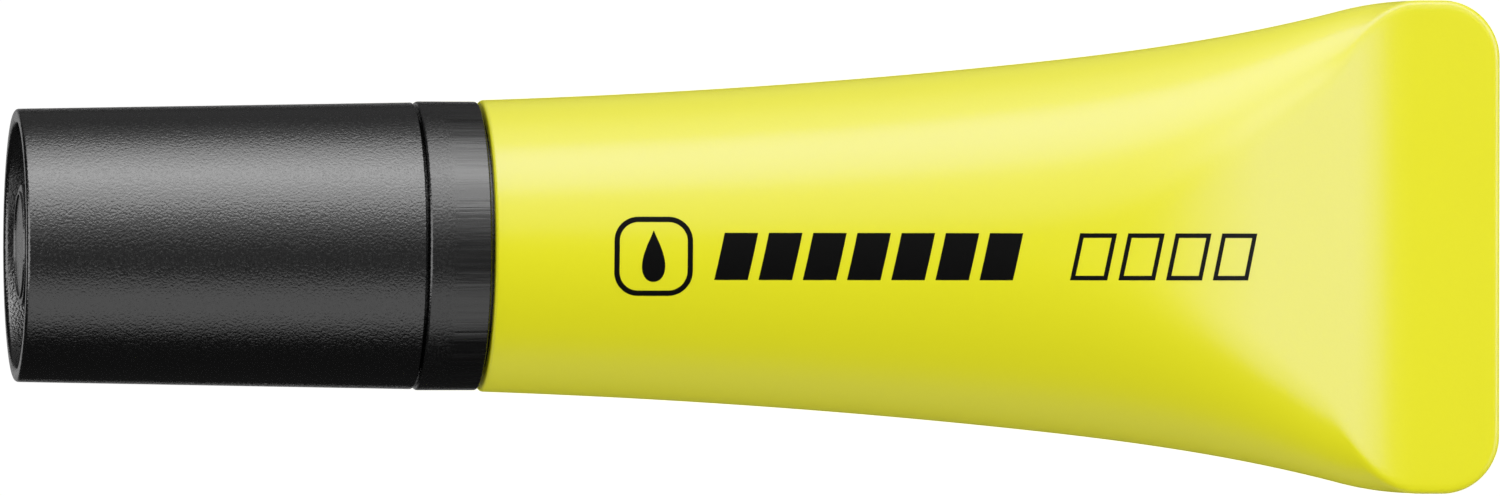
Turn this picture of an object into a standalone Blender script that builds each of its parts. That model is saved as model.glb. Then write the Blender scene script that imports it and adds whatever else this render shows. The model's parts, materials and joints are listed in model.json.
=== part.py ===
"""Tube-shaped highlighter, lying on its side: a pocket marker whose body flares like a toothpaste tube.

Run with: blender --background --python part.py
Units are metres and +Z is up. The pen lies along X with its cap at -X and its flat tail at +X, and
it rests on Z = 0. Lengths along the pen are called u and count from the cap's end, in millimetres.
"""

import math

import bmesh
import bpy

MM = 0.001

# Whole pen
LENGTH = 118.0
AXIS_HEIGHT = 11.5          # the round part of the body rests on the ground
SIDES = 40                  # facets round the visible pieces
INNER_SIDES = 32            # facets round the pieces inside

# Cap sleeve
CAP_LENGTH = 31.30
CAP_END_RADIUS = 10.73
CAP_MOUTH_RADIUS = 11.30
CAP_END_BORE = 9.60
CAP_MOUTH_BORE = 10.12
CAP_EDGE = 0.30
CAP_MOUTH_CHAMFER = 0.20
CAP_END_CHAMFER = 0.15
RIB_COUNT = 6
RIB_THICKNESS = 0.9
RIB_START, RIB_STOP = 2.4, 21.0
RIB_ROOT = 9.95             # ribs run a little way into the sleeve's wall
RIB_CLEARANCE = 0.15

# Sealing cup inside the cap
CUP_FACE = 0.40             # the boss lies just inside the cap's rim
CUP_FLOOR = 1.9
BOSS_RADIUS = 4.8
BOSS_BORE = 3.95
BOSS_RING_RADIUS = 4.1
BOSS_RING_WIDTH = 0.26
BOSS_RING_HEIGHT = 0.14
BOSS_RING_SLOPE = 0.04
BOSS_EDGE = 0.2
CUP_SHOULDER = (7.0, 11.5)  # the cup widens between these two places
CUP_MOUTH = 21.0
CUP_RADIUS = 7.5
CUP_BORE = 6.75
CUP_LEAD_LENGTH, CUP_LEAD_DEPTH = 0.5, 0.25
CUP_SHOULDER_OFFSET = 0.4   # the bore widens a little after the outside does

# Front section: nose, neck, collar and the spigot that enters the body
NOSE_TIP = 14.0
NOSE_TIP_RADIUS = 3.9
NOSE_TIP_EDGE = 0.3
NOSE_BASE_RADIUS = 6.5
SEAL_FOOT = (20.8, 6.1)     # the cone ends here and the seal bead rises
SEAL_BEAD = (21.6, 22.4)
SEAL_BEAD_RADIUS = 6.65
NECK_START = 24.0
NECK_RADIUS = 9.8
NECK_EDGE = 0.4
SNAP_BEAD = 29.3
SNAP_BEAD_HALF = 0.5
SNAP_BEAD_HEIGHT = 0.17
COLLAR_START, COLLAR_STOP = 31.50, 36.40
COLLAR_RADIUS = 11.38
COLLAR_EDGE = 0.30
SPIGOT_STOP = 46.4
SPIGOT_RADIUS = 10.15
SPIGOT_BORE = 8.95
SPIGOT_LEAD_LENGTH, SPIGOT_LEAD_DEPTH = 0.5, 0.4
NECK_BORE = 8.6
NECK_BORE_TAPER = 1.2
FRONT_WALL = 2.0            # the annular wall between neck and inner sleeve
SLEEVE_RADIUS = 7.8
SLEEVE_BORE = 7.0
SLEEVE_STOP = 45.0
SLEEVE_SEAT = 37.0
FEED_BORE = 6.0
FEED_LIP = 0.3
SOCKET_BORE = 3.3
SOCKET_START, SOCKET_STOP = 18.0, 21.5
NIB_SLOT_STOP = 19.0

# Nib
NIB_TIP = 7.4
NIB_STOP = 28.0
NIB_WIDTH = 5.0
NIB_HEIGHT = 3.4
NIB_EDGE_HALF = 0.35
NIB_BEVEL_NEAR, NIB_BEVEL_FAR = 3.2, 5.0
NIB_NECKING = (22.6, 24.2)  # the wick narrows to its tail between these two places
NIB_TAIL_WIDTH = 3.0
NIB_TAIL_HEIGHT = 2.0
NIB_END_WIDTH, NIB_END_HEIGHT = 2.4, 1.4
NIB_SLANT = 2.6             # how far the chisel's edge leans back across the width
NIB_CLEARANCE = 0.15

# Ink store
RESERVOIR_START, RESERVOIR_STOP = 24.8, 80.6
RESERVOIR_RADIUS = 5.6
FILM_BORE = 5.65
FILM_RADIUS = 5.85
NIB_POCKET_SPARE = 0.3
STRAW_RADIUS = 0.8
STRAW_BORE = 0.5
STRAW_OFFSET = 4.75
STRAW_CLEARANCE = 0.15
STRAW_INSET_FRONT, STRAW_INSET_BACK = 1.0, 0.6
STRAW_SIDES = 12
BARREL_START, BARREL_STOP = 37.3, 85.0
BARREL_BORE = 6.05
BARREL_RADIUS = 6.85
PLUG_START, PLUG_STOP = 81.0, 87.0
PLUG_RADIUS = 5.9
PLUG_BORE = 4.9
PLUG_WALL = 1.1
PLUG_LEAD_LENGTH, PLUG_LEAD_DEPTH = 0.5, 0.2
PLUG_FLANGE_GAP = 0.3
PLUG_CHAMFER = 0.4

# Body shell. Each outline knot is (u, half-size, slope); between knots the outline is a cubic.
BODY_START = 36.7
WIDTH_KNOTS = ((BODY_START, 11.49, 0.035), (82.0, 14.72, 0.110), (105.5, 18.75, 0.260), (112.0, 19.58, 0.0))
DEPTH_KNOTS = ((72.0, 11.50, 0.0), (98.0, 7.60, -0.45), (106.2, 3.93, -0.45), (111.2, 2.80, 0.0))
END_ASPECT = 1.25           # width over height of a section's rounded ends
FLAT_SOFTNESS = 0.06        # how gently a section's flat top begins
WALL = 1.2
LIP = 0.3
CORNER_RADIUS = 4.6         # rounded corners of the tail, seen from above
TAIL_EDGE = 0.5             # rounded edge of the tail, seen from the side
CAVITY_STOP = 107.4
CORNER_TURNS = (0, 20, 38, 52, 64, 75, 90)  # degrees round the tail's corners


def material(name, colour, roughness):
    """A Principled plastic or fibre with a linear RGB colour."""
    made = bpy.data.materials.new(name)
    made.use_nodes = True
    shader = made.node_tree.nodes["Principled BSDF"]
    shader.inputs["Base Color"].default_value = (*colour, 1.0)
    shader.inputs["Roughness"].default_value = roughness
    shader.inputs["Metallic"].default_value = 0.0
    made.diffuse_color = (*colour, 1.0)
    return made


def empty(name, parent, location):
    made = bpy.data.objects.new(name, None)
    bpy.context.scene.collection.objects.link(made)
    made.parent = parent
    made.location = location
    return made


def piece(name, shape, parent, look):
    """An object made from a bmesh in millimetres, in the pen's own frame."""
    bmesh.ops.scale(shape, vec=(MM, MM, MM), verts=shape.verts)
    bmesh.ops.recalc_face_normals(shape, faces=shape.faces)
    mesh = bpy.data.meshes.new(name)
    shape.to_mesh(mesh)
    shape.free()
    mesh.shade_smooth()
    mesh.set_sharp_from_angle(angle=math.radians(32))
    made = bpy.data.objects.new(name, mesh)
    bpy.context.scene.collection.objects.link(made)
    made.parent = parent
    if look is not None:
        mesh.materials.append(look)
    return made


def helper(name, shape, parent):
    """A cutter or an added shape: hidden, and left out of the model."""
    made = piece(name, shape, parent, None)
    made.hide_render = True
    made.display_type = "WIRE"
    return made


def boolean(target, operation, other):
    modifier = target.modifiers.new(other.name, "BOOLEAN")
    modifier.operation = operation
    modifier.object = other
    modifier.solver = "EXACT"


def arc(centre_u, centre_r, radius, start, stop, steps):
    """Points of a round edge in the (u, r) plane; angles in degrees, 0 along +u and 90 along +r."""
    turn = (stop - start) / steps
    angles = [math.radians(start + turn * step) for step in range(steps + 1)]
    return [(centre_u + radius * math.cos(a), centre_r + radius * math.sin(a)) for a in angles]


def bridge_rings(shape, first, second):
    count = max(len(first), len(second))
    for i in range(count):
        j = (i + 1) % count
        corners = [first[i % len(first)], first[j % len(first)]]
        corners += [second[j % len(second)], second[i % len(second)]]
        kept = list(dict.fromkeys(corners))
        if len(kept) > 2:
            shape.faces.new(kept)


def turned(profile, sides):
    """A closed (u, r) outline turned round the pen's axis. A point with r = 0 lies on the axis."""
    shape = bmesh.new()
    rings = []
    for u, r in profile:
        if r == 0:
            rings.append([shape.verts.new((u, 0, 0))])
            continue
        angles = [2 * math.pi * side / sides for side in range(sides)]
        rings.append([shape.verts.new((u, r * math.cos(a), r * math.sin(a))) for a in angles])
    for first, second in zip(rings, rings[1:] + rings[:1]):
        bridge_rings(shape, first, second)
    return shape


def lofted(sections):
    """A closed skin over rings of (x, y, z) points, with a flat face at each end."""
    shape = bmesh.new()
    rings = [[shape.verts.new(point) for point in section] for section in sections]
    for first, second in zip(rings, rings[1:]):
        bridge_rings(shape, first, second)
    shape.faces.new(rings[0])
    shape.faces.new(rings[-1])
    return shape


def rectangle(u, width, height):
    y, z = width / 2, height / 2
    return [(u, y, -z), (u, y, z), (u, -y, z), (u, -y, -z)]


def box_between(start, stop, width, height):
    return lofted([rectangle(start, width, height), rectangle(stop, width, height)])


def rod_between(start, stop, radius, sides):
    angles = [2 * math.pi * side / sides for side in range(sides)]
    circle = [(radius * math.cos(angle), radius * math.sin(angle)) for angle in angles]
    return lofted([[(u, y, z) for y, z in circle] for u in (start, stop)])


# ---------------------------------------------------------------- cap

def cap_radius(u):
    return CAP_END_RADIUS + (CAP_MOUTH_RADIUS - CAP_END_RADIUS) * u / CAP_LENGTH


def make_cap_shell(parent, look):
    edge = CAP_EDGE
    end_centre = (edge, cap_radius(edge) - edge)
    mouth_centre = (CAP_LENGTH - edge, cap_radius(CAP_LENGTH - edge) - edge)
    profile = arc(*end_centre, edge, 180, 90, 3)
    profile += arc(*mouth_centre, edge, 90, 0, 3)
    profile += [(CAP_LENGTH, CAP_MOUTH_BORE + CAP_MOUTH_CHAMFER)]
    profile += [(CAP_LENGTH - CAP_MOUTH_CHAMFER, CAP_MOUTH_BORE)]
    profile += [(CAP_END_CHAMFER, CAP_END_BORE), (0, CAP_END_BORE + CAP_END_CHAMFER)]
    shell = piece("cap_shell", turned(profile, SIDES), parent, look)
    boolean(shell, "UNION", helper("cap_rib_shapes", cap_ribs(), parent))
    return shell


def cap_ribs():
    """Radial ribs that hold the sealing cup and leave air ways between them."""
    near = BOSS_RADIUS + RIB_CLEARANCE
    far = CUP_RADIUS + RIB_CLEARANCE
    side = [(RIB_START, near), (CUP_SHOULDER[0], near), (CUP_SHOULDER[1], far), (RIB_STOP, far)]
    side += [(RIB_STOP, RIB_ROOT), (RIB_START, RIB_ROOT)]
    shape = bmesh.new()
    for rib in range(RIB_COUNT):
        turn = 2 * math.pi * (rib + 0.5) / RIB_COUNT
        cosine, sine = math.cos(turn), math.sin(turn)
        faces = []
        for half in (-RIB_THICKNESS / 2, RIB_THICKNESS / 2):
            points = [(u, r * cosine - half * sine, r * sine + half * cosine) for u, r in side]
            faces.append([shape.verts.new(point) for point in points])
        bridge_rings(shape, *faces)
        for face in faces:
            shape.faces.new(face)
    return shape


def make_cap_seal_cup(parent, look):
    ring_in = BOSS_RING_RADIUS - BOSS_RING_WIDTH / 2
    ring_out = BOSS_RING_RADIUS + BOSS_RING_WIDTH / 2
    ring_top = CUP_FACE - BOSS_RING_HEIGHT
    profile = [(CUP_FACE, 0), (CUP_FACE, ring_in), (ring_top, ring_in + BOSS_RING_SLOPE)]
    profile += [(ring_top, ring_out - BOSS_RING_SLOPE), (CUP_FACE, ring_out)]
    profile += [(CUP_FACE, BOSS_RADIUS - BOSS_EDGE), (CUP_FACE + BOSS_EDGE, BOSS_RADIUS)]
    profile += [(CUP_SHOULDER[0], BOSS_RADIUS), (CUP_SHOULDER[1], CUP_RADIUS), (CUP_MOUTH, CUP_RADIUS)]
    profile += [(CUP_MOUTH, CUP_BORE + CUP_LEAD_DEPTH), (CUP_MOUTH - CUP_LEAD_LENGTH, CUP_BORE)]
    profile += [(u + CUP_SHOULDER_OFFSET, r) for u, r in zip(CUP_SHOULDER[::-1], (CUP_BORE, BOSS_BORE))]
    profile += [(CUP_FLOOR, BOSS_BORE), (CUP_FLOOR, 0)]
    return piece("cap_seal_cup", turned(profile, INNER_SIDES), parent, look)


# ---------------------------------------------------------------- front section and nib

def make_front_section(parent, look):
    profile = [(NOSE_TIP, 0), (NOSE_TIP, NOSE_TIP_RADIUS - NOSE_TIP_EDGE)]
    profile += [(NOSE_TIP + NOSE_TIP_EDGE, NOSE_TIP_RADIUS), SEAL_FOOT]
    profile += [(u, SEAL_BEAD_RADIUS) for u in SEAL_BEAD] + [(NECK_START, NOSE_BASE_RADIUS)]
    profile += [(NECK_START, NECK_RADIUS - NECK_EDGE), (NECK_START + NECK_EDGE, NECK_RADIUS)]
    profile += [(SNAP_BEAD - SNAP_BEAD_HALF, NECK_RADIUS), (SNAP_BEAD, NECK_RADIUS + SNAP_BEAD_HEIGHT)]
    profile += [(SNAP_BEAD + SNAP_BEAD_HALF, NECK_RADIUS), (COLLAR_START, NECK_RADIUS)]
    edge = COLLAR_EDGE
    profile += arc(COLLAR_START + edge, COLLAR_RADIUS - edge, edge, 180, 90, 3)
    profile += arc(COLLAR_STOP - edge, COLLAR_RADIUS - edge, edge, 90, 0, 3)
    profile += [(COLLAR_STOP, SPIGOT_RADIUS), (SPIGOT_STOP - SPIGOT_LEAD_LENGTH, SPIGOT_RADIUS)]
    profile += [(SPIGOT_STOP, SPIGOT_RADIUS - SPIGOT_LEAD_DEPTH), (SPIGOT_STOP, SPIGOT_BORE)]
    profile += [(COLLAR_START + NECK_BORE_TAPER, SPIGOT_BORE), (COLLAR_START, NECK_BORE)]
    profile += [(NECK_START + FRONT_WALL, NECK_BORE), (NECK_START + FRONT_WALL, SLEEVE_RADIUS)]
    profile += [(SLEEVE_STOP, SLEEVE_RADIUS), (SLEEVE_STOP, SLEEVE_BORE)]
    profile += [(SLEEVE_SEAT, SLEEVE_BORE), (SLEEVE_SEAT, FEED_BORE), (NECK_START + FEED_LIP, FEED_BORE)]
    profile += [(SOCKET_STOP, SOCKET_BORE), (SOCKET_START, SOCKET_BORE), (SOCKET_START, 0)]
    section = piece("front_section", turned(profile, SIDES), parent, look)
    gap = 2 * NIB_CLEARANCE
    slot = box_between(NOSE_TIP - 1, NIB_SLOT_STOP, NIB_WIDTH + gap, NIB_HEIGHT + gap)
    boolean(section, "DIFFERENCE", helper("nib_slot_shape", slot, parent))
    return section


def make_chisel_nib(parent, look):
    """A flat felt wick: a slanted chisel edge in front and a narrow tail that enters the ink store."""
    half, rise = NIB_WIDTH / 2, NIB_HEIGHT / 2
    edge = NIB_EDGE_HALF
    near, far = NIB_TIP + NIB_BEVEL_NEAR, NIB_TIP + NIB_BEVEL_FAR
    front = [(NIB_TIP, half, -edge), (NIB_TIP, half, edge)]
    front += [(NIB_TIP + NIB_SLANT, -half, edge), (NIB_TIP + NIB_SLANT, -half, -edge)]
    shoulder = [(near, half, -rise), (near, half, rise), (far, -half, rise), (far, -half, -rise)]
    rings = [front, shoulder, rectangle(NIB_NECKING[0], NIB_WIDTH, NIB_HEIGHT)]
    rings += [rectangle(NIB_NECKING[1], NIB_TAIL_WIDTH, NIB_TAIL_HEIGHT)]
    rings += [rectangle(NIB_STOP, NIB_END_WIDTH, NIB_END_HEIGHT)]
    return piece("chisel_nib", lofted(rings), parent, look)


# ---------------------------------------------------------------- ink store

def make_ink_reservoir(parent, look):
    """A fibre rod with a groove for the breather straw and a pocket for the nib's tail."""
    rod = piece(
        "ink_reservoir",
        rod_between(RESERVOIR_START, RESERVOIR_STOP, RESERVOIR_RADIUS, INNER_SIDES),
        parent,
        look,
    )
    boolean(rod, "DIFFERENCE", helper("straw_groove_shape", straw_groove(), parent))
    gap = 2 * NIB_CLEARANCE
    pocket_stop = NIB_STOP + NIB_POCKET_SPARE
    pocket = box_between(RESERVOIR_START - 1, pocket_stop, NIB_TAIL_WIDTH + gap, NIB_TAIL_HEIGHT + gap)
    boolean(rod, "DIFFERENCE", helper("nib_pocket_shape", pocket, parent))
    return rod


def straw_groove():
    """A channel along the rod with a round bottom, open at the top."""
    radius = STRAW_RADIUS + STRAW_CLEARANCE
    angles = [math.radians(180 + 30 * step) for step in range(7)]
    outline_yz = [(radius * math.cos(a), STRAW_OFFSET + radius * math.sin(a)) for a in angles]
    outline_yz += [(radius, RESERVOIR_RADIUS + 1), (-radius, RESERVOIR_RADIUS + 1)]
    ends = (RESERVOIR_START - 2, RESERVOIR_STOP + 2)
    return lofted([[(u, y, z) for y, z in outline_yz] for u in ends])


def tube_between(start, stop, bore, radius, sides):
    return turned([(start, bore), (start, radius), (stop, radius), (stop, bore)], sides)


def make_reservoir_film(parent, look):
    film = tube_between(RESERVOIR_START, RESERVOIR_STOP, FILM_BORE, FILM_RADIUS, INNER_SIDES)
    return piece("reservoir_film", film, parent, look)


def make_breather_straw(parent, look):
    start = RESERVOIR_START + STRAW_INSET_FRONT
    stop = RESERVOIR_STOP - STRAW_INSET_BACK
    straw = tube_between(start, stop, STRAW_BORE, STRAW_RADIUS, STRAW_SIDES)
    bmesh.ops.translate(straw, vec=(0, 0, STRAW_OFFSET), verts=straw.verts)
    return piece("breather_straw", straw, parent, look)


def make_ink_barrel(parent, look):
    barrel = tube_between(BARREL_START, BARREL_STOP, BARREL_BORE, BARREL_RADIUS, INNER_SIDES)
    return piece("ink_barrel", barrel, parent, look)


def make_barrel_plug(parent, look):
    """A hollow stopper pressed into the ink barrel's far end."""
    flange = BARREL_STOP + PLUG_FLANGE_GAP
    profile = [(PLUG_START, PLUG_BORE), (PLUG_START, PLUG_RADIUS - PLUG_LEAD_DEPTH)]
    profile += [(PLUG_START + PLUG_LEAD_LENGTH, PLUG_RADIUS), (flange, PLUG_RADIUS)]
    profile += [(flange, BARREL_RADIUS), (PLUG_STOP - PLUG_CHAMFER, BARREL_RADIUS)]
    profile += [(PLUG_STOP, BARREL_RADIUS - PLUG_CHAMFER), (PLUG_STOP, 0)]
    profile += [(PLUG_STOP - PLUG_WALL, 0), (PLUG_STOP - PLUG_WALL, PLUG_BORE)]
    return piece("barrel_plug", turned(profile, INNER_SIDES), parent, look)


# ---------------------------------------------------------------- body shell

def outline(knots, u):
    """The half-size at u: constant before the first knot and after the last, cubic between them."""
    if u <= knots[0][0]:
        return knots[0][1]
    for (u0, p0, m0), (u1, p1, m1) in zip(knots, knots[1:]):
        if u <= u1:
            t = (u - u0) / (u1 - u0)
            span = u1 - u0
            rise = (2 * t**3 - 3 * t**2 + 1) * p0 + (3 * t**2 - 2 * t**3) * p1
            return rise + span * ((t**3 - 2 * t**2 + t) * m0 + (t**3 - t**2) * m1)
    return knots[-1][1]


def body_half_width(u):
    corner = LENGTH - CORNER_RADIUS
    width = outline(WIDTH_KNOTS, u)
    if u > corner:
        inside = math.sqrt(max(0.0, CORNER_RADIUS**2 - (u - corner) ** 2))
        width -= CORNER_RADIUS - inside
    return width


def body_half_depth(u):
    edge = LENGTH - TAIL_EDGE
    depth = outline(DEPTH_KNOTS, u)
    if u > edge:
        inside = math.sqrt(max(0.0, TAIL_EDGE**2 - (u - edge) ** 2))
        depth -= TAIL_EDGE - inside
    return depth


def section(u, width, depth):
    """One ring of the body: flat above and below where the tube is pressed, with rounded ends."""
    lean = 1 - END_ASPECT * depth / width
    flat = width * (lean + math.hypot(lean, FLAT_SOFTNESS)) / 2
    end = width - flat
    arc_share = (end + depth) / (end + depth + flat)
    quarter = SIDES // 4
    points = []
    for step in range(quarter + 1):
        share = step / quarter
        if share < arc_share:
            angle = math.pi / 2 * share / arc_share
            points.append((flat + end * math.cos(angle), depth * math.sin(angle)))
        else:
            points.append((flat * (1 - share) / (1 - arc_share), depth))
    points[-1] = (0.0, depth)
    upper = points + [(-y, z) for y, z in points[-2::-1]]
    lower = [(y, -z) for y, z in upper[-2:0:-1]]
    return [(u, y, z) for y, z in upper + lower]


def spread(start, stop, steps):
    return [start + (stop - start) * step / steps for step in range(1, steps + 1)]


def make_tube_shell(parent, look):
    """The hollow body: open at the collar, pressed solid in the flat band at its tail."""
    outer = []
    for angle in (0, 45, 90):
        u = BODY_START + LIP * (1 - math.cos(math.radians(angle)))
        inset = LIP * (1 - math.sin(math.radians(angle)))
        outer.append(section(u, body_half_width(u) - inset, body_half_depth(u) - inset))
    pressed, _, band_foot, band_start = (knot[0] for knot in DEPTH_KNOTS)
    stations = spread(BODY_START + LIP, pressed, 7) + spread(pressed, band_foot, 11)
    stations += spread(band_foot, band_start, 5)
    corner = LENGTH - CORNER_RADIUS
    stations += [corner + CORNER_RADIUS * math.sin(math.radians(turn)) for turn in CORNER_TURNS]
    outer += [section(u, body_half_width(u), body_half_depth(u)) for u in stations]
    inner = []
    for u in [BODY_START] + spread(BODY_START, pressed, 4) + spread(pressed, CAVITY_STOP, 9):
        inner.append(section(u, body_half_width(u) - WALL, body_half_depth(u) - WALL))
    return piece("tube_shell", lofted(outer[::-1] + inner), parent, look)


# ---------------------------------------------------------------- assembly

def build():
    for old in list(bpy.data.objects):
        bpy.data.objects.remove(old, do_unlink=True)

    yellow = material("neon_yellow_plastic", (0.80, 0.78, 0.035), 0.42)
    black = material("grained_black_plastic", (0.012, 0.012, 0.013), 0.45)
    satin_black = material("black_plastic", (0.010, 0.010, 0.011), 0.40)
    nib_felt = material("nib_felt", (0.83, 0.86, 0.05), 0.85)
    ink_fibre = material("inked_fibre", (0.72, 0.80, 0.04), 0.90)
    film = material("clear_film", (0.80, 0.82, 0.62), 0.20)
    natural = material("natural_plastic", (0.75, 0.75, 0.72), 0.45)

    start = (-LENGTH / 2 * MM, 0, AXIS_HEIGHT * MM)
    pen_axis = empty("pen_axis", None, start)
    cap_axis = empty("cap_axis", pen_axis, (0, 0, 0))

    make_cap_shell(cap_axis, black)
    make_cap_seal_cup(cap_axis, black)
    make_front_section(pen_axis, satin_black)
    make_chisel_nib(pen_axis, nib_felt)
    make_ink_reservoir(pen_axis, ink_fibre)
    make_reservoir_film(pen_axis, film)
    make_breather_straw(pen_axis, natural)
    make_ink_barrel(pen_axis, natural)
    make_barrel_plug(pen_axis, natural)
    make_tube_shell(pen_axis, yellow)


build()
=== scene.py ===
"""The looks of the tube-shaped highlighter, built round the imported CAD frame.

Metres, +Z up. The pen lies along X with its cap at -X. Lengths along the pen are called u: they are
in millimetres and count from the cap's end, as in the CAD, and PEN places them in the frame.
"""

import json
import math

import bmesh
import bpy
from mathutils import Matrix, Vector

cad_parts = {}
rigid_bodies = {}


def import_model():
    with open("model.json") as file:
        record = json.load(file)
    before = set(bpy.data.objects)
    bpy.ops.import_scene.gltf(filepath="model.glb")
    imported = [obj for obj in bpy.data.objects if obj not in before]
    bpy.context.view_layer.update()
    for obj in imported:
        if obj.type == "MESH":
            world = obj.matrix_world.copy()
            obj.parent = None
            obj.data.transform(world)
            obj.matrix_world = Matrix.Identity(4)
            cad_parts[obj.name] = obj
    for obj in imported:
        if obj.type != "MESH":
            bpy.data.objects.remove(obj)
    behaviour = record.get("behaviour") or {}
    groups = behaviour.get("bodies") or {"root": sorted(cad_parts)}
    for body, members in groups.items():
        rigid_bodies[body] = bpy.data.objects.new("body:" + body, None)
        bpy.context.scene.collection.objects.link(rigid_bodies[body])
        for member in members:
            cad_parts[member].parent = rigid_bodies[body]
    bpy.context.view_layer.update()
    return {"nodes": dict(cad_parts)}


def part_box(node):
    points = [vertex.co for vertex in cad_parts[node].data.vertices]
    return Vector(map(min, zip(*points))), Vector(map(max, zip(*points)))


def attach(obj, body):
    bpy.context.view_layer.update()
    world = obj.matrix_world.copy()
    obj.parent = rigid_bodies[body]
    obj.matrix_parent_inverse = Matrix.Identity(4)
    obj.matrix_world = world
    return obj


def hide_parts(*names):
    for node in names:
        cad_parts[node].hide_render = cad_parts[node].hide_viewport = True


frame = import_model()

MM = 0.001
CAP_LOW, CAP_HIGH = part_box("cap_shell")
BODY_LOW, BODY_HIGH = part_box("tube_shell")
PEN = Vector((CAP_LOW.x, (CAP_LOW.y + CAP_HIGH.y) / 2, (CAP_LOW.z + CAP_HIGH.z) / 2))
LENGTH = (BODY_HIGH.x - CAP_LOW.x) / MM
MIDDLE = PEN + Vector((LENGTH / 2 * MM, 0, 0))
SIDES = 192


# ---------------------------------------------------------------- meshes

def place(shape, name, body, node, look, sharp=32):
    """Makes an object of a bmesh in pen millimetres, rides it on a body and stands it for a CAD node."""
    bmesh.ops.scale(shape, vec=(MM, MM, MM), verts=shape.verts)
    bmesh.ops.translate(shape, vec=PEN, verts=shape.verts)
    bmesh.ops.recalc_face_normals(shape, faces=shape.faces)
    mesh = bpy.data.meshes.new(name)
    shape.to_mesh(mesh)
    shape.free()
    mesh.shade_smooth()
    mesh.set_sharp_from_angle(angle=math.radians(sharp))
    made = bpy.data.objects.new(name, mesh)
    bpy.context.scene.collection.objects.link(made)
    mesh.materials.append(look)
    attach(made, body)
    if node:
        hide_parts(node)
    return made


def cut_or_join(target, operation, shape):
    """Applies one Boolean with a throwaway helper whose bmesh is in pen millimetres."""
    bmesh.ops.scale(shape, vec=(MM, MM, MM), verts=shape.verts)
    bmesh.ops.translate(shape, vec=PEN, verts=shape.verts)
    bmesh.ops.recalc_face_normals(shape, faces=shape.faces)
    mesh = bpy.data.meshes.new("helper")
    shape.to_mesh(mesh)
    shape.free()
    other = bpy.data.objects.new("helper", mesh)
    bpy.context.scene.collection.objects.link(other)
    modifier = target.modifiers.new("cut", "BOOLEAN")
    modifier.operation = operation
    modifier.object = other
    modifier.solver = "EXACT"
    bpy.context.view_layer.update()
    graph = bpy.context.evaluated_depsgraph_get()
    result = bpy.data.meshes.new_from_object(target.evaluated_get(graph))
    target.modifiers.clear()
    target.data = result
    bpy.data.objects.remove(other, do_unlink=True)
    result.shade_smooth()
    result.set_sharp_from_angle(angle=math.radians(32))


def arc(centre_u, centre_r, radius, start, stop, steps=6):
    turn = (stop - start) / steps
    angles = [math.radians(start + turn * step) for step in range(steps + 1)]
    return [(centre_u + radius * math.cos(a), centre_r + radius * math.sin(a)) for a in angles]


def bridge_rings(shape, first, second):
    count = max(len(first), len(second))
    for i in range(count):
        j = (i + 1) % count
        corners = [first[i % len(first)], first[j % len(first)]]
        corners += [second[j % len(second)], second[i % len(second)]]
        kept = list(dict.fromkeys(corners))
        if len(kept) > 2:
            shape.faces.new(kept)


def turned(profile, sides=SIDES):
    """A closed (u, r) outline turned round the pen's axis. A point with r = 0 lies on the axis."""
    shape = bmesh.new()
    rings = []
    for u, r in profile:
        if r == 0:
            rings.append([shape.verts.new((u, 0, 0))])
            continue
        angles = [2 * math.pi * side / sides for side in range(sides)]
        rings.append([shape.verts.new((u, r * math.cos(a), r * math.sin(a))) for a in angles])
    for first, second in zip(rings, rings[1:] + rings[:1]):
        bridge_rings(shape, first, second)
    return shape


def lofted(sections):
    """A closed skin over rings of (x, y, z) points, with a flat face at each end."""
    shape = bmesh.new()
    rings = [[shape.verts.new(point) for point in section] for section in sections]
    for first, second in zip(rings, rings[1:]):
        bridge_rings(shape, first, second)
    shape.faces.new(rings[0])
    shape.faces.new(rings[-1])
    return shape


def spread(start, stop, steps):
    return [start + (stop - start) * step / steps for step in range(1, steps + 1)]


# ---------------------------------------------------------------- materials

BLACK = (0.002, 0.002, 0.0022)


def shader_of(name, colour, roughness):
    made = bpy.data.materials.new(name)
    made.use_nodes = True
    tree = made.node_tree
    shader = tree.nodes["Principled BSDF"]
    shader.inputs["Base Color"].default_value = (*colour, 1.0)
    shader.inputs["Roughness"].default_value = roughness
    return made, tree, shader


def node(tree, kind, **values):
    made = tree.nodes.new(kind)
    for key, value in values.items():
        if hasattr(made, key):
            setattr(made, key, value)
        else:
            made.inputs[key.replace("_", " ")].default_value = value
    return made


def noise(tree, source, scale, detail=2.0, rough=0.5, stretch=(1, 1, 1)):
    """A noise value over the piece's own coordinates, in features of 1 / scale metres."""
    mapping = node(tree, "ShaderNodeMapping")
    mapping.inputs["Scale"].default_value = stretch
    tree.links.new(source.outputs["Object"], mapping.inputs["Vector"])
    made = node(tree, "ShaderNodeTexNoise")
    made.inputs["Scale"].default_value = scale
    made.inputs["Detail"].default_value = detail
    made.inputs["Roughness"].default_value = rough
    tree.links.new(mapping.outputs["Vector"], made.inputs["Vector"])
    return made.outputs["Fac"]


def remap(tree, value, low, high, to_low, to_high):
    made = node(tree, "ShaderNodeMapRange")
    for key, number in zip(("From Min", "From Max", "To Min", "To Max"), (low, high, to_low, to_high)):
        made.inputs[key].default_value = number
    tree.links.new(value, made.inputs["Value"])
    return made.outputs["Result"]


def bump(tree, height, distance, strength=1.0, after=None):
    made = node(tree, "ShaderNodeBump")
    made.inputs["Strength"].default_value = strength
    made.inputs["Distance"].default_value = distance
    tree.links.new(height, made.inputs["Height"])
    if after is not None:
        tree.links.new(after, made.inputs["Normal"])
    return made.outputs["Normal"]


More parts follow.
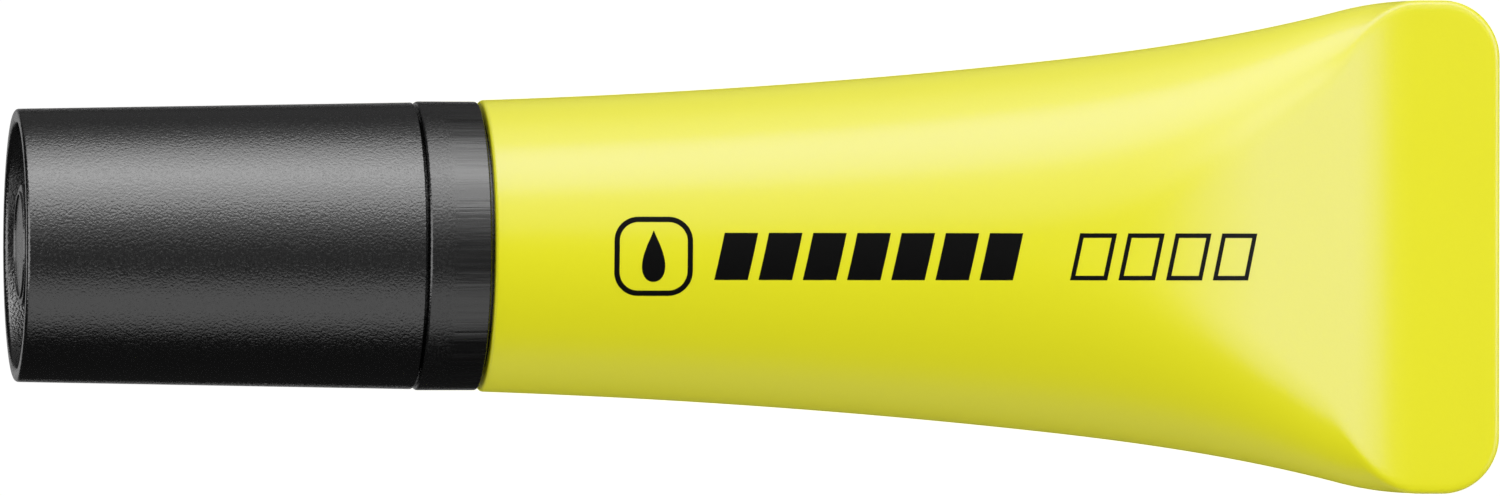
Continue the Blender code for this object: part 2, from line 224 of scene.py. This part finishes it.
def grained_black(name, roughness, depth, shine):
    """Black plastic with the fine spark-eroded grain of its mould."""
    made, tree, shader = shader_of(name, BLACK, roughness)
    source = node(tree, "ShaderNodeTexCoord")
    grain = noise(tree, source, 5200, 2.0)
    tree.links.new(bump(tree, grain, depth), shader.inputs["Normal"])
    low, high = roughness - 0.09, roughness + 0.09
    tree.links.new(remap(tree, grain, 0.35, 0.65, low, high), shader.inputs["Roughness"])
    shader.inputs["IOR"].default_value = 1.9
    shader.inputs["Specular IOR Level"].default_value = shine
    return made, tree, shader, source, grain


def brushed_black(name, roughness, depth, shine, edge):
    """The same plastic, polished along the pen beyond the place called edge."""
    made, tree, shader, source, grain = grained_black(name, roughness, depth, shine)
    lines = noise(tree, source, 2600, 3.0, 0.6, (0.03, 1, 1))
    place_along = node(tree, "ShaderNodeSeparateXYZ")
    tree.links.new(source.outputs["Object"], place_along.inputs["Vector"])
    share = remap(tree, place_along.outputs["X"], edge - 0.4 * MM, edge + 0.4 * MM, 0.0, 1.0)
    mix = node(tree, "ShaderNodeMix")
    tree.links.new(share, mix.inputs["Factor"])
    tree.links.new(grain, mix.inputs["A"])
    tree.links.new(lines, mix.inputs["B"])
    tree.links.new(bump(tree, mix.outputs["Result"], depth), shader.inputs["Normal"])
    tree.links.new(remap(tree, mix.outputs["Result"], 0.35, 0.65, 0.17, 0.33), shader.inputs["Roughness"])
    return made


def two_tone(tree, shader, value, dark, light):
    ramp = node(tree, "ShaderNodeValToRGB")
    ramp.color_ramp.elements[0].color = (*dark, 1)
    ramp.color_ramp.elements[1].color = (*light, 1)
    tree.links.new(remap(tree, value, 0.35, 0.65, 0.0, 1.0), ramp.inputs["Fac"])
    tree.links.new(ramp.outputs["Color"], shader.inputs["Base Color"])


def inked_fibre(name, scale, dark, light):
    """Pressed fibre soaked with fluorescent ink: fine strands that run along the pen."""
    made, tree, shader = shader_of(name, light, 0.85)
    source = node(tree, "ShaderNodeTexCoord")
    strands = noise(tree, source, scale, 3.0, 0.6, (0.12, 1, 1))
    tree.links.new(bump(tree, strands, 0.00008), shader.inputs["Normal"])
    two_tone(tree, shader, strands, dark, light)
    return made


def clear_film():
    """Thin clear wrap with faint lengthwise creases, tinted by the ink under it."""
    made, tree, shader = shader_of("clear_film", (0.80, 0.82, 0.62), 0.15)
    shader.inputs["Transmission Weight"].default_value = 0.8
    source = node(tree, "ShaderNodeTexCoord")
    creases = noise(tree, source, 300, 2.0, 0.5, (0.1, 1, 1))
    tree.links.new(bump(tree, creases, 0.00004), shader.inputs["Normal"])
    tree.links.new(remap(tree, creases, 0.3, 0.7, 0.10, 0.22), shader.inputs["Roughness"])
    return made


def natural_plastic():
    """Milky uncoloured plastic with a faint flow pattern."""
    made, tree, shader = shader_of("natural_plastic", (0.75, 0.75, 0.72), 0.45)
    shader.inputs["Subsurface Weight"].default_value = 0.15
    shader.inputs["Subsurface Scale"].default_value = 0.002
    source = node(tree, "ShaderNodeTexCoord")
    flow = noise(tree, source, 250, 2.0, 0.5, (0.3, 1, 1))
    two_tone(tree, shader, flow, (0.68, 0.68, 0.64), (0.78, 0.78, 0.75))
    tree.links.new(remap(tree, flow, 0.3, 0.7, 0.38, 0.50), shader.inputs["Roughness"])
    tree.links.new(bump(tree, noise(tree, source, 2500), 0.000008), shader.inputs["Normal"])
    return made


def printing_ink():
    made, tree, shader = shader_of("printing_ink", (0.003, 0.003, 0.003), 0.45)
    shader.inputs["Specular IOR Level"].default_value = 0.15
    source = node(tree, "ShaderNodeTexCoord")
    spots = noise(tree, source, 3000, 2.0)
    tree.links.new(remap(tree, spots, 0.3, 0.7, 0.40, 0.52), shader.inputs["Roughness"])
    return made


def yellow_plastic():
    made, tree, shader = shader_of("body_plastic", (0.80, 0.775, 0.014), 0.30)
    shader.inputs["IOR"].default_value = 1.8
    shader.inputs["Specular IOR Level"].default_value = 0.86
    shader.inputs["Specular Tint"].default_value = (0.2, 0.2, 1.0, 1.0)
    source = node(tree, "ShaderNodeTexCoord")
    fine = noise(tree, source, 3500, 2.0)
    tree.links.new(bump(tree, fine, 0.000004), shader.inputs["Normal"])
    tree.links.new(remap(tree, fine, 0.3, 0.7, 0.28, 0.32), shader.inputs["Roughness"])
    return made


# ---------------------------------------------------------------- body

BODY_START = (BODY_LOW.x - PEN.x) / MM
WIDTH_KNOTS = ((BODY_START, 11.49, 0.035), (82.0, 14.72, 0.110), (105.5, 18.75, 0.260), (112.0, 19.58, 0.0))
DEPTH_KNOTS = ((72.0, 11.50, 0.0), (98.0, 7.60, -0.45), (106.2, 3.93, -0.45), (111.2, 2.80, 0.0))
BLEND_START, BLEND_STOP = 103.0, 111.2
END_ASPECT = 1.25
FLAT_SOFTNESS = 0.06
WALL = 1.2
LIP = 0.3
CORNER_RADIUS = 4.6
TAIL_EDGE = 0.5
CAVITY_STOP = 107.4


def outline(knots, u):
    if u <= knots[0][0]:
        return knots[0][1]
    for (u0, p0, m0), (u1, p1, m1) in zip(knots, knots[1:]):
        if u <= u1:
            t = (u - u0) / (u1 - u0)
            span = u1 - u0
            rise = (2 * t**3 - 3 * t**2 + 1) * p0 + (3 * t**2 - 2 * t**3) * p1
            return rise + span * ((t**3 - 2 * t**2 + t) * m0 + (t**3 - t**2) * m1)
    return knots[-1][1]


def smoothstep(low, high, value):
    t = min(1.0, max(0.0, (value - low) / (high - low)))
    return t * t * (3 - 2 * t)


def flat_share(width, depth):
    """(half-width of the flat top, where along a quarter of the ring the flat starts)."""
    lean = 1 - END_ASPECT * depth / width
    flat = width * (lean + math.hypot(lean, FLAT_SOFTNESS)) / 2
    end = width - flat
    return flat, (end + depth) / (end + depth + flat)


def tube_point(width, depth, flat, start, share):
    """A point of a pressed tube's quarter section: share 0 is the side, 1 the middle of the top."""
    if share < start:
        angle = math.pi / 2 * share / start
        return flat + (width - flat) * math.cos(angle), depth * math.sin(angle)
    return flat * (1 - share) / (1 - start), depth


def plate_point(u, width, depth, start, share):
    """The same for the flat tail: a plate with rounded corners in plan and rounded edges."""
    corner = LENGTH - CORNER_RADIUS
    wall = depth - TAIL_EDGE
    most = min(TAIL_EDGE, LENGTH - u)
    tilt = math.acos(1 - most / TAIL_EDGE)
    wall_part = start * wall / (wall + TAIL_EDGE * math.pi / 2)
    if share <= wall_part:
        angle, height = 0.0, wall * share / wall_part
    else:
        angle = tilt * min(1.0, (share - wall_part) / (start - wall_part))
        height = wall + TAIL_EDGE * math.sin(angle)
    inset = TAIL_EDGE * (1 - math.cos(angle))
    across = width - inset
    if u > corner:
        radius = CORNER_RADIUS - inset
        across = width - CORNER_RADIUS + math.sqrt(max(0.0, radius**2 - (u - corner) ** 2))
    if share > start:
        across *= (1 - share) / (1 - start)
    return across, height


def section(u, inset=0.0, sides=SIDES, tail=True):
    width = outline(WIDTH_KNOTS, u) - inset
    depth = outline(DEPTH_KNOTS, u) - inset
    flat, start = flat_share(width, depth)
    mix = smoothstep(BLEND_START, BLEND_STOP, u) if tail else 0.0
    quarter = sides // 4
    points = []
    for step in range(quarter + 1):
        share = step / quarter
        y, z = tube_point(width, depth, flat, start, share)
        if mix > 0:
            plate_y, plate_z = plate_point(u, width, depth, start, share)
            y, z = y + (plate_y - y) * mix, z + (plate_z - z) * mix
        points.append((y, z))
    points[-1] = (0.0, points[-1][1])
    upper = points + [(-y, z) for y, z in points[-2::-1]]
    lower = [(y, -z) for y, z in upper[-2:0:-1]]
    return [(u, y, z) for y, z in upper + lower]


def make_body(look):
    outer = []
    for step in range(7):
        angle = math.radians(90 * step / 6)
        outer.append(section(BODY_START + LIP * (1 - math.cos(angle)), LIP * (1 - math.sin(angle))))
    stations = spread(BODY_START + LIP, 72, 30) + spread(72, 100, 30)
    stations += spread(100, 113.4, 36)
    stations += [LENGTH - CORNER_RADIUS * (1 - math.sin(math.radians(90 * s / 28))) for s in range(1, 29)]
    outer += [section(u) for u in stations]
    inner = [section(u, WALL, tail=False) for u in [BODY_START] + spread(BODY_START, CAVITY_STOP, 24)]
    return place(lofted(outer[::-1] + inner), "body_skin", "pen", "tube_shell", look)


# ---------------------------------------------------------------- cap and front section

CAP_LENGTH = (CAP_HIGH.x - CAP_LOW.x) / MM
CAP_END_RADIUS, CAP_MOUTH_RADIUS = 10.73, 11.30
CAP_EDGE = 0.30
MOUTH_EDGE = 0.12


def cap_radius(u):
    return CAP_END_RADIUS + (CAP_MOUTH_RADIUS - CAP_END_RADIUS) * u / CAP_LENGTH


def make_cap_sleeve(look):
    profile = arc(CAP_EDGE, cap_radius(CAP_EDGE) - CAP_EDGE, CAP_EDGE, 180, 90)
    mouth = CAP_LENGTH - MOUTH_EDGE
    profile += arc(mouth, cap_radius(mouth) - MOUTH_EDGE, MOUTH_EDGE, 90, 0)
    profile += [(CAP_LENGTH, 10.32), (CAP_LENGTH - 0.2, 10.12), (6.0, 9.60), (2.4, 9.30), (0.5, 9.62)]
    profile += arc(0.4, 10.02, 0.4, 265, 180)
    sleeve = place(turned(profile), "cap_sleeve", "cap", "cap_shell", look)
    cut_or_join(sleeve, "UNION", cap_ribs())
    return sleeve


def cap_ribs():
    side = [(2.4, 4.95), (7.0, 4.95), (11.5, 7.65), (21.0, 7.65), (21.0, 9.95), (2.4, 9.95)]
    shape = bmesh.new()
    for rib in range(6):
        turn = math.radians(60 * rib + 30)
        cosine, sine = math.cos(turn), math.sin(turn)
        faces = []
        for half in (-0.45, 0.45):
            points = [(u, r * cosine - half * sine, r * sine + half * cosine) for u, r in side]
            faces.append([shape.verts.new(point) for point in points])
        bridge_rings(shape, *faces)
        for face in faces:
            shape.faces.new(face)
    return shape


def make_cap_cup(look):
    face, ring = 0.40, 4.1
    profile = [(face, 0.0), (face, ring - 0.15)]
    profile += [(face - 0.06, ring - 0.13), (face - 0.13, ring - 0.09), (face - 0.14, ring)]
    profile += [(face - 0.13, ring + 0.09), (face - 0.06, ring + 0.13), (face, ring + 0.15)]
    profile += arc(face + 0.2, 4.6, 0.2, 180, 90)
    profile += [(7.0, 4.8), (11.5, 7.5), (21.0, 7.5), (21.0, 7.0), (20.5, 6.75)]
    profile += [(11.9, 6.75), (7.4, 3.95), (1.9, 3.95), (1.9, 0.0)]
    return place(turned(profile), "cap_inner_cup", "cap", "cap_seal_cup", look)


COLLAR_START = CAP_LENGTH + 0.20
COLLAR_STOP = BODY_START - 0.30
COLLAR_FAR_EDGE = 0.15


def make_front(look):
    edge = 0.30
    profile = [(14.0, 0.0)] + arc(14.3, 3.6, 0.3, 180, 90)
    profile += [(20.8, 6.1)] + arc(22.0, 6.25, 0.4, 160, 20) + [(24.0, 6.5)]
    profile += [(24.0, 9.4)] + arc(24.4, 9.4, 0.4, 150, 90)
    profile += [(28.8, 9.8), (29.05, 9.87), (29.3, 9.97), (29.55, 9.87), (29.8, 9.8), (COLLAR_START, 9.8)]
    profile += arc(COLLAR_START + edge, 11.38 - edge, edge, 180, 90)
    profile += arc(COLLAR_STOP - COLLAR_FAR_EDGE, 11.38 - COLLAR_FAR_EDGE, COLLAR_FAR_EDGE, 90, 0)
    profile += [(COLLAR_STOP, 10.15), (45.9, 10.15), (46.4, 9.75), (46.4, 8.95), (32.70, 8.95)]
    profile += [(COLLAR_START, 8.6)]
    profile += [(26.0, 8.6), (26.0, 7.8), (45.0, 7.8), (45.0, 7.0), (37.0, 7.0), (37.0, 6.0)]
    profile += [(24.3, 6.0), (21.5, 3.3), (18.0, 3.3), (18.0, 0.0)]
    front = place(turned(profile), "front_moulding", "pen", "front_section", look)
    slot = lofted([rectangle(13.0, 5.3, 3.7), rectangle(19.0, 5.3, 3.7)])
    cut_or_join(front, "DIFFERENCE", slot)
    return front


def rectangle(u, width, height):
    y, z = width / 2, height / 2
    return [(u, y, -z), (u, y, z), (u, -y, z), (u, -y, -z)]


# ---------------------------------------------------------------- nib

def make_nib(look):
    """The felt wick: a slanted chisel edge, rounded corners and a narrow tail in the ink store."""
    half, rise = 2.5, 1.7
    rings = []
    for push, edge in ((0.0, 0.16), (0.10, 0.28), (0.30, 0.38)):
        rings.append(chisel_ring(7.4 + push, 2.6, half - 0.22 + push * 0.7, edge))
    for step in range(1, 9):
        t = step / 8
        rings.append(chisel_ring(7.7 + 3.1 * t, 2.6 - 0.9 * t, half, 0.38 + (rise - 0.38) * t))
    rings.append(chisel_ring(12.6, 0.4, half, rise))
    rings.append(chisel_ring(22.6, 0.0, half, rise))
    rings.append(chisel_ring(24.2, 0.0, 1.5, 1.0))
    rings.append(chisel_ring(28.0, 0.0, 1.2, 0.7))
    return place(lofted(rings), "nib_felt", "pen", "chisel_nib", look, 50)


def chisel_ring(u, slant, half, rise):
    """A rounded rectangle whose -Y side lies slant further back than its +Y side."""
    radius = 0.45 * min(half, rise)
    points = []
    for quadrant, (side_y, side_z) in enumerate(((1, 1), (-1, 1), (-1, -1), (1, -1))):
        for step in range(5):
            angle = math.radians(90 * quadrant + 90 * step / 4)
            y = side_y * (half - radius) + radius * math.cos(angle)
            z = side_z * (rise - radius) + radius * math.sin(angle)
            points.append((u + slant * (0.5 - y / (2 * half)), y, z))
    return points


# ---------------------------------------------------------------- printed marks

def surface_height(u, y):
    width, depth = outline(WIDTH_KNOTS, u), outline(DEPTH_KNOTS, u)
    flat, _ = flat_share(width, depth)
    beyond = max(0.0, abs(y) - flat) / (width - flat)
    return depth * math.sqrt(1 - beyond**2)


def ink_film(shape, lattice, closed=False):
    """Adds a film over rows of (u, y) points, lying on the body: PRINT_RISE above it, PRINT_ROOT under."""
    layers = []
    for offset in (PRINT_RISE, -PRINT_ROOT):
        points = [[(u, y, surface_height(u, y) + offset) for u, y in row] for row in lattice]
        layers.append([[shape.verts.new(point) for point in row] for row in points])
    top, bottom = layers
    rows, columns = len(lattice), len(lattice[0])
    steps = range(rows if closed else rows - 1)
    for i in steps:
        j = (i + 1) % rows
        for k in range(columns - 1):
            shape.faces.new((top[i][k], top[j][k], top[j][k + 1], top[i][k + 1]))
            shape.faces.new((bottom[i][k + 1], bottom[j][k + 1], bottom[j][k], bottom[i][k]))
        for k in (0, columns - 1):
            shape.faces.new((top[i][k], top[j][k], bottom[j][k], bottom[i][k]))
    if not closed:
        for i in (0, rows - 1):
            for k in range(columns - 1):
                shape.faces.new((top[i][k], top[i][k + 1], bottom[i][k + 1], bottom[i][k]))


PRINT_RISE, PRINT_ROOT = 0.012, 0.05
PRINT_LINE = -0.80
PRINT_HEIGHT = 3.7


def slanted_block(shape, start, width, height, lean):
    rows = []
    for i in range(9):
        rows.append([])
        for j in range(13):
            across = (j / 12 - 0.5) * height
            rows[-1].append((start + width * i / 8 + lean * across / height, PRINT_LINE + across))
    ink_film(shape, rows)


def slanted_frame(shape, start, width, height, lean, line):
    """The outline of a slanted block: a closed band of even thickness."""
    def corners(inset):
        skew = inset * math.hypot(1, lean / height)
        low, high = -height / 2 + inset, height / 2 - inset
        left = lambda across: start + skew + lean * across / height
        right = lambda across: start + width - skew + lean * across / height
        return [(left(low), low), (right(low), low), (right(high), high), (left(high), high)]
    outer, inner = corners(0.0), corners(line)
    rows = []
    for side in range(4):
        for step in range(12):
            t = step / 12
            pair = []
            for ring in (outer, inner):
                (u0, y0), (u1, y1) = ring[side], ring[(side + 1) % 4]
                pair.append((u0 + (u1 - u0) * t, PRINT_LINE + y0 + (y1 - y0) * t))
            rows.append(pair)
    ink_film(shape, rows, closed=True)


def between(first, second, t):
    return [(u0 + (u1 - u0) * t, y0 + (y1 - y0) * t) for (u0, y0), (u1, y1) in zip(first, second)]


def rounded_square(shape, centre, size, corner, line):
    pairs = []
    for quadrant, (side_u, side_y) in enumerate(((1, 1), (-1, 1), (-1, -1), (1, -1))):
        middle_u = centre + side_u * (size / 2 - corner)
        middle_y = PRINT_LINE + side_y * (size / 2 - corner)
        for step in range(13):
            angle = math.radians(90 * quadrant + 90 * step / 12)
            reach = (corner, corner - line)
            pairs.append([(middle_u + r * math.cos(angle), middle_y + r * math.sin(angle)) for r in reach])
    rows = []
    for first, second in zip(pairs, pairs[1:] + pairs[:1]):
        count = 6 if math.dist(first[0], second[0]) > 0.5 else 1
        rows += [between(first, second, step / count) for step in range(count)]
    ink_film(shape, rows, closed=True)


def drop(shape, centre, height):
    """An ink drop with its tip towards +Y."""
    rows = []
    for step in range(25):
        t = step / 24
        angle = math.pi * t
        reach = 0.5 * height * 0.62 * math.sin(angle) * math.sin(angle / 2) ** 1.3 + 0.02
        across = PRINT_LINE + 0.5 * height * math.cos(angle)
        rows.append([(centre + reach * side / 3, across) for side in range(-3, 4)])
    ink_film(shape, rows)


def make_print(look):
    """Generic printed marks: a drop in a rounded square, a row of solid blocks and a row of open ones."""
    shape = bmesh.new()
    rounded_square(shape, 49.1, 6.2, 1.9, 0.42)
    drop(shape, 49.1, 4.0)
    for block in range(7):
        slanted_block(shape, 54.3 + 3.5 * block, 2.65, PRINT_HEIGHT, 0.8)
    for block in range(4):
        slanted_frame(shape, 82.5 + 3.9 * block, 3.0, PRINT_HEIGHT, 0.8, 0.36)
    return place(shape, "printed_marks", "pen", None, look, 40)


# ---------------------------------------------------------------- stage

def make_floor():
    bpy.ops.mesh.primitive_plane_add(size=6.0, location=(0, 0, 0))
    floor = bpy.context.object
    floor.name = "floor"
    made, tree, shader = shader_of("floor_white", (0.80, 0.80, 0.80), 0.9)
    shader.inputs["Specular IOR Level"].default_value = 0.0
    shader.inputs["Emission Color"].default_value = (1, 1, 1, 1)
    shader.inputs["Emission Strength"].default_value = 1.0
    floor.data.materials.append(made)
    floor.visible_glossy = False
    floor.visible_shadow = False


def aim(thing, location, back, right):
    """Stands a light or a camera so that it looks along -back with its own X nearest to right."""
    back = back.normalized()
    upward = back.cross(right).normalized()
    turn = Matrix((upward.cross(back), upward, back)).transposed()
    thing.matrix_world = Matrix.Translation(location) @ turn.to_4x4()


REACH, REACH_STEP = 0.8, 0.01
# Each strip: its name, the pieces that it lights, its two edges and its brightness.
STRIPS = (
    ("black_key", "black", 30, 92, 1.24),
    ("black_key_core", "black", 50, 72, 0.87),
    ("black_shoulder", "black", 10, 40, 0.33),
    ("black_overhead", "black", -20, 20, 0.09),
    ("black_front", "black", -72, -28, 0.41),
    ("black_back", "black", 92, 155, 0.08),
    ("black_back_low", "black", 88, 112, 0.16),
    ("black_under", "black", 165, 195, 0.40),
    ("body_key", "body", 42, 82, 1.93),
    ("body_key_low", "body", 60, 100, 0.34),
    ("body_shoulder", "body", 10, 40, 0.50),
    ("body_back", "body", 92, 155, 0.25),
    ("body_back_low", "body", 88, 112, 0.21),
    ("body_fill_front", "body", -85, -25, 0.75),
    ("body_fill_top", "body", -25, 25, 1.10),
)
# Each panel: the same, with the end it stands off, its tilt towards that end and its turn round the pen.
PANELS = (
    ("black_end", "black", -1, 30, 80, -50, 50, 1.30),
    ("tail_high", "body", 1, 30, 50, 20, 70, 1.47),
    ("tail_wide", "body", 1, 40, 75, -40, 60, 1.06),
    ("tail_low", "body", 1, 55, 80, -10, 60, 1.16),
    ("tail_fill", "body", 1, 30, 70, -50, 50, 0.76),
    ("collar_fill", "body", -1, 30, 70, -50, 50, 1.00),
)
FILLS = ("body_fill_front", "body_fill_top", "tail_fill", "collar_fill")
BLACK_PIECES = ("cap_sleeve", "cap_inner_cup", "front_moulding")


def receivers():
    """The two groups of pieces that have lights of their own: the black ones and the rest of the pen."""
    groups = {"black": bpy.data.collections.new("lit_black"), "body": bpy.data.collections.new("lit_body")}
    for thing in bpy.context.scene.objects:
        if thing.type == "MESH" and thing.name != "floor":
            group = "black" if thing.name in BLACK_PIECES else "body"
            groups[group].objects.link(thing)
    return groups


def softbox(name, direction, reach, size_x, size_y, radiance, receiver):
    data = bpy.data.lights.new(name, "AREA")
    data.shape = "RECTANGLE"
    data.size, data.size_y = size_x, size_y
    data.energy = radiance * size_x * size_y * math.pi
    light = bpy.data.objects.new(name, data)
    bpy.context.scene.collection.objects.link(light)
    light.visible_camera = False
    light.visible_glossy = name not in FILLS
    data.cycles.use_multiple_importance_sampling = name not in FILLS
    light.light_linking.receiver_collection = receiver
    aim(light, MIDDLE + direction * reach, direction, Vector((1, 0, 0)))


def make_lights():
    """Long strips round the pen, by their angles from straight up towards +Y, and panels off its ends."""
    world = bpy.data.worlds.new("studio")
    world.use_nodes = True
    background = world.node_tree.nodes["Background"]
    background.inputs["Color"].default_value = (1, 1, 1, 1)
    background.inputs["Strength"].default_value = 0.02
    bpy.context.scene.world = world
    groups = receivers()
    reach = REACH
    for name, group, low, high, radiance in STRIPS:
        middle = math.radians((low + high) / 2)
        direction = Vector((0, math.sin(middle), math.cos(middle)))
        width = 2 * reach * math.tan(math.radians(high - low) / 2)
        softbox(name, direction, reach, 1.25 * reach, width, radiance, groups[group])
        reach += REACH_STEP
    for name, group, end, low, high, turn_low, turn_high, radiance in PANELS:
        tilt, turn = math.radians((low + high) / 2), math.radians((turn_low + turn_high) / 2)
        across_pen, upward = math.cos(tilt) * math.sin(turn), math.cos(tilt) * math.cos(turn)
        direction = Vector((end * math.sin(tilt), across_pen, upward))
        along = 2 * reach * math.tan(math.radians(high - low) / 2)
        across = 2 * reach * math.tan(math.radians(turn_high - turn_low) / 2 * math.cos(tilt))
        softbox(name, direction, reach, along, across, radiance, groups[group])
        reach += REACH_STEP


# The camera: its lens and sensor in mm, its tilt towards the cap's end, and where it looks from.
CAMERA_LENS, CAMERA_SENSOR, CAMERA_TILT = 379.6, 36.0, 7.8
CAMERA_REACH, CAMERA_SHIFT, CAMERA_RIGHT = 1.25, (-0.00073, -0.00014, 0), (1, 0.0012, 0)


def make_camera():
    data = bpy.data.cameras.new("camera")
    data.sensor_width = CAMERA_SENSOR
    data.lens = CAMERA_LENS
    camera = bpy.data.objects.new("camera", data)
    bpy.context.scene.collection.objects.link(camera)
    tilt = math.radians(CAMERA_TILT)
    back = Vector((-math.sin(tilt), 0, math.cos(tilt)))
    aim(camera, MIDDLE + Vector(CAMERA_SHIFT) + back * CAMERA_REACH, back, Vector(CAMERA_RIGHT))
    data.clip_start, data.clip_end = 0.05, 20
    bpy.context.scene.camera = camera


cap_black = grained_black("cap_plastic", 0.19, 0.00004, 0.92)[0]
section_black = brushed_black("section_plastic", 0.18, 0.00003, 0.78, PEN.x + 33.6 * MM)
body_yellow = yellow_plastic()
nib_felt = inked_fibre("felt_yellow", 1500, (0.50, 0.47, 0.012), (0.85, 0.84, 0.04))
print_black = printing_ink()
rod_fibre = inked_fibre("rod_fibre", 900, (0.55, 0.52, 0.02), (0.80, 0.80, 0.06))
film = clear_film()
milky = natural_plastic()
kept = {
    "ink_reservoir": rod_fibre,
    "reservoir_film": film,
    "breather_straw": milky,
    "ink_barrel": milky,
    "barrel_plug": milky,
}
for name, look in kept.items():
    for slot in frame["nodes"][name].material_slots:
        slot.material = look

make_body(body_yellow)
make_cap_sleeve(cap_black)
make_cap_cup(section_black)
make_front(section_black)
make_nib(nib_felt)
make_print(print_black)
make_floor()
make_lights()
make_camera()
bpy.context.scene.view_settings.view_transform = "Standard"
